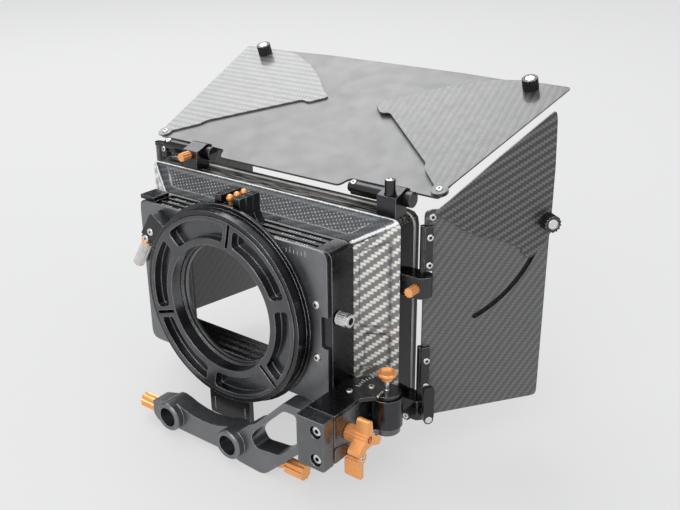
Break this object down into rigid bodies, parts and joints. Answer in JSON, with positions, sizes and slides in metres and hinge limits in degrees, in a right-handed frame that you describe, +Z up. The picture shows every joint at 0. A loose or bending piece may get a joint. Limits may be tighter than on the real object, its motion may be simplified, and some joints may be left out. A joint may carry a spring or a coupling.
{
  "type": "matte box",
  "caption": "Swing-away matte box on a 15 mm rod bracket: flared hood with folding top and side flags, filter trays that lift out, and a split ring that clamps the lens.",
  "frame": {"origin": "midway between the axes of the two 15 mm rod bores, on the flat rear face of the web that joins them", "axes": "+Y forward along the lens axis, away from the camera; +Z up; +X to the right as seen from behind the box"},
  "size_m": [0.3485, 0.2487, 0.2462],
  "materials": {
    "grey_anodised": "satin anodised",
    "plate_anodised": "satin anodised",
    "black_anodised": "satin anodised",
    "ring_anodised": "satin anodised",
    "orange_anodised": "bright anodised",
    "bare_metal": "turned",
    "carbon_shell": "woven carbon, clear coated",
    "black_plastic": "satin",
    "carbon_sheet": "woven carbon, satin",
    "satin_sheet": "satin"
  },
  "bodies": {
    "support": {"rod_bracket": "grey_anodised", "arm_block": "grey_anodised", "arm_slide": "grey_anodised", "pivot_plate": "black_anodised"},
    "matte_box": {"swing_yoke": "ring_anodised", "rear_plate": "plate_anodised", "filter_stage": "black_anodised", "stop_tab": "black_anodised", "clamp_ring": "black_anodised", "reduction_ring": "ring_anodised", "hood_shell": "carbon_shell", "hood_rim": "black_plastic", "top_clamp_left": "black_anodised", "top_clamp_right": "black_anodised", "side_clamp_upper": "black_anodised", "side_clamp_lower": "black_anodised", "corner_bracket_upper": "black_anodised", "corner_bracket_lower": "black_anodised"},
    "top_flag": {"top_flag": "satin_sheet", "top_hinge_left": "black_anodised", "top_hinge_right": "black_anodised"},
    "right_flag": {"right_flag": "carbon_sheet", "right_hinge_upper": "black_anodised", "right_hinge_lower": "black_anodised"},
    "rod_screw_left": {"rod_screw_left": "orange_anodised"},
    "rod_screw_right": {"rod_screw_right": "orange_anodised"},
    "tension_knob": {"tension_knob": "orange_anodised"},
    "flip_latch": {"flip_latch": "orange_anodised"},
    "eject_pin": {"eject_pin": "orange_anodised"},
    "filter_tray_1": {"filter_tray_1": "black_anodised"},
    "filter_tray_2": {"filter_tray_2": "black_anodised"},
    "filter_tray_3": {"filter_tray_3": "black_anodised"},
    "tray_button_1": {"tray_button_1": "orange_anodised"},
    "tray_button_2": {"tray_button_2": "orange_anodised"},
    "tray_button_3": {"tray_button_3": "orange_anodised"},
    "push_button_upper": {"push_button_upper": "orange_anodised"},
    "push_button_lower": {"push_button_lower": "orange_anodised"},
    "side_knob": {"side_knob": "bare_metal"},
    "ring_screw": {"ring_screw": "bare_metal"},
    "top_wing_left": {"top_wing_left": "carbon_sheet"},
    "top_wing_right": {"top_wing_right": "carbon_sheet"},
    "top_knob_left": {"top_knob_left": "black_anodised"},
    "top_knob_right": {"top_knob_right": "black_anodised"},
    "right_wing": {"right_wing": "carbon_sheet"},
    "right_knob": {"right_knob": "black_anodised"},
    "left_flag": {"left_flag": "carbon_sheet"},
    "top_screw_left": {"top_screw_left": "orange_anodised"},
    "top_screw_right": {"top_screw_right": "black_anodised"},
    "side_screw_upper": {"side_screw_upper": "orange_anodised"},
    "side_screw_lower": {"side_screw_lower": "black_plastic"},
    "lower_lever": {"lower_lever": "black_plastic"}
  },
  "joints": [
    {"name": "rod_screw_left_turn", "type": "hinge", "parent": "support", "child": "rod_screw_left", "pos_m": [-0.0518, 0.006, -0.00363], "axis": [1, 0, 0], "range_deg": [-90, 90]},
    {"name": "rod_screw_right_turn", "type": "hinge", "parent": "support", "child": "rod_screw_right", "pos_m": [0.069, 0.006, -0.00363], "axis": [1, 0, 0], "range_deg": [-90, 90]},
    {"name": "tension_knob_turn", "type": "hinge", "parent": "support", "child": "tension_knob", "pos_m": [0.1163, 0.02, 0.032], "axis": [1, 0, 0], "range_deg": [-120, 120]},
    {"name": "flip_latch_turn", "type": "hinge", "parent": "support", "child": "flip_latch", "pos_m": [0.1163, 0.0226, 0.0168], "axis": [1, 0, 0], "range_deg": [-50, 0]},
    {"name": "eject_press", "type": "slide", "parent": "support", "child": "eject_pin", "axis": [0, 0, -1], "range_m": [0, 0.003], "stiffness_N_per_m": 500},
    {"name": "box_swing", "type": "hinge", "parent": "support", "child": "matte_box", "pos_m": [0.1246, 0.052, 0.033], "axis": [0, 0, 1], "range_deg": [-90, 0]},
    {"name": "tray_1_lift", "type": "slide", "parent": "matte_box", "child": "filter_tray_1", "axis": [0, 0, 1], "range_m": [0, 0.118]},
    {"name": "tray_1_button_press", "type": "slide", "parent": "filter_tray_1", "child": "tray_button_1", "axis": [0, 0, -1], "range_m": [0, 0.0015], "stiffness_N_per_m": 300},
    {"name": "tray_2_lift", "type": "slide", "parent": "matte_box", "child": "filter_tray_2", "axis": [0, 0, 1], "range_m": [0, 0.118]},
    {"name": "tray_2_button_press", "type": "slide", "parent": "filter_tray_2", "child": "tray_button_2", "axis": [0, 0, -1], "range_m": [0, 0.0015], "stiffness_N_per_m": 300},
    {"name": "tray_3_lift", "type": "slide", "parent": "matte_box", "child": "filter_tray_3", "axis": [0, 0, 1], "range_m": [0, 0.118]},
    {"name": "tray_3_button_press", "type": "slide", "parent": "filter_tray_3", "child": "tray_button_3", "axis": [0, 0, -1], "range_m": [0, 0.0015], "stiffness_N_per_m": 300},
    {"name": "push_button_upper_press", "type": "slide", "parent": "matte_box", "child": "push_button_upper", "axis": [1, 0, 0], "range_m": [0, 0.0012], "stiffness_N_per_m": 300},
    {"name": "push_button_lower_press", "type": "slide", "parent": "matte_box", "child": "push_button_lower", "axis": [1, 0, 0], "range_m": [0, 0.0012], "stiffness_N_per_m": 300},
    {"name": "side_knob_turn", "type": "hinge", "parent": "matte_box", "child": "side_knob", "pos_m": [0.0903, 0.0445, 0.097], "axis": [1, 0, 0], "range_deg": [-90, 90]},
    {"name": "ring_screw_turn", "type": "hinge", "parent": "matte_box", "child": "ring_screw", "pos_m": [-0.06793, 0.031, 0.12912], "axis": [-0.5446, 0, -0.8387], "range_deg": [-90, 90]},
    {"name": "top_flag_tilt", "type": "hinge", "parent": "matte_box", "child": "top_flag", "pos_m": [0, 0.0905, 0.1714], "axis": [1, 0, 0], "range_deg": [-15, 40]},
    {"name": "top_wing_left_fan", "type": "hinge", "parent": "top_flag", "child": "top_wing_left", "pos_m": [-0.129, 0.10445, 0.1748], "axis": [0, -0.3234, 0.9463], "range_deg": [-20, 0]},
    {"name": "top_wing_right_fan", "type": "hinge", "parent": "top_flag", "child": "top_wing_right", "pos_m": [0.129, 0.10445, 0.1748], "axis": [0, -0.3234, 0.9463], "range_deg": [0, 20]},
    {"name": "top_knob_left_turn", "type": "hinge", "parent": "top_wing_left", "child": "top_knob_left", "pos_m": [-0.129, 0.22871, 0.21938], "axis": [0, -0.3234, 0.9463], "range_deg": [-90, 90]},
    {"name": "top_knob_right_turn", "type": "hinge", "parent": "top_wing_right", "child": "top_knob_right", "pos_m": [0.129, 0.22871, 0.21938], "axis": [0, -0.3234, 0.9463], "range_deg": [-90, 90]},
    {"name": "right_flag_swing", "type": "hinge", "parent": "matte_box", "child": "right_flag", "pos_m": [0.1289, 0.0851, 0.085], "axis": [0, 0, 1], "range_deg": [-50, 18]},
    {"name": "right_wing_fan", "type": "hinge", "parent": "right_flag", "child": "right_wing", "pos_m": [0.13283, 0.08894, 0.1639], "axis": [0.8171, -0.5764, 0], "range_deg": [-52, 0]},
    {"name": "right_knob_turn", "type": "hinge", "parent": "right_wing", "child": "right_knob", "pos_m": [0.18235, 0.15567, 0.15148], "axis": [0.8171, -0.5764, 0], "range_deg": [-90, 90]},
    {"name": "left_flag_swing", "type": "hinge", "parent": "matte_box", "child": "left_flag", "pos_m": [-0.1244, 0.092, 0.085], "axis": [0, 0, 1], "range_deg": [-8, 65]},
    {"name": "top_screw_left_turn", "type": "hinge", "parent": "matte_box", "child": "top_screw_left", "pos_m": [-0.0755, 0.078, 0.1714], "axis": [0, 1, 0], "range_deg": [-90, 90]},
    {"name": "top_screw_right_turn", "type": "hinge", "parent": "matte_box", "child": "top_screw_right", "pos_m": [0.1045, 0.0826, 0.179], "axis": [0, 0, 1], "range_deg": [-90, 90]},
    {"name": "side_screw_upper_turn", "type": "hinge", "parent": "matte_box", "child": "side_screw_upper", "pos_m": [0.1289, 0.078, 0.116], "axis": [0, 1, 0], "range_deg": [-90, 90]},
    {"name": "side_screw_lower_turn", "type": "hinge", "parent": "matte_box", "child": "side_screw_lower", "pos_m": [0.1289, 0.078, 0.023], "axis": [0, 1, 0], "range_deg": [-90, 90]},
    {"name": "lower_lever_turn", "type": "hinge", "parent": "matte_box", "child": "lower_lever", "pos_m": [0.1289, 0.0851, 0.023], "axis": [0.809, -0.5878, 0], "range_deg": [-10, 30]}
  ]
}
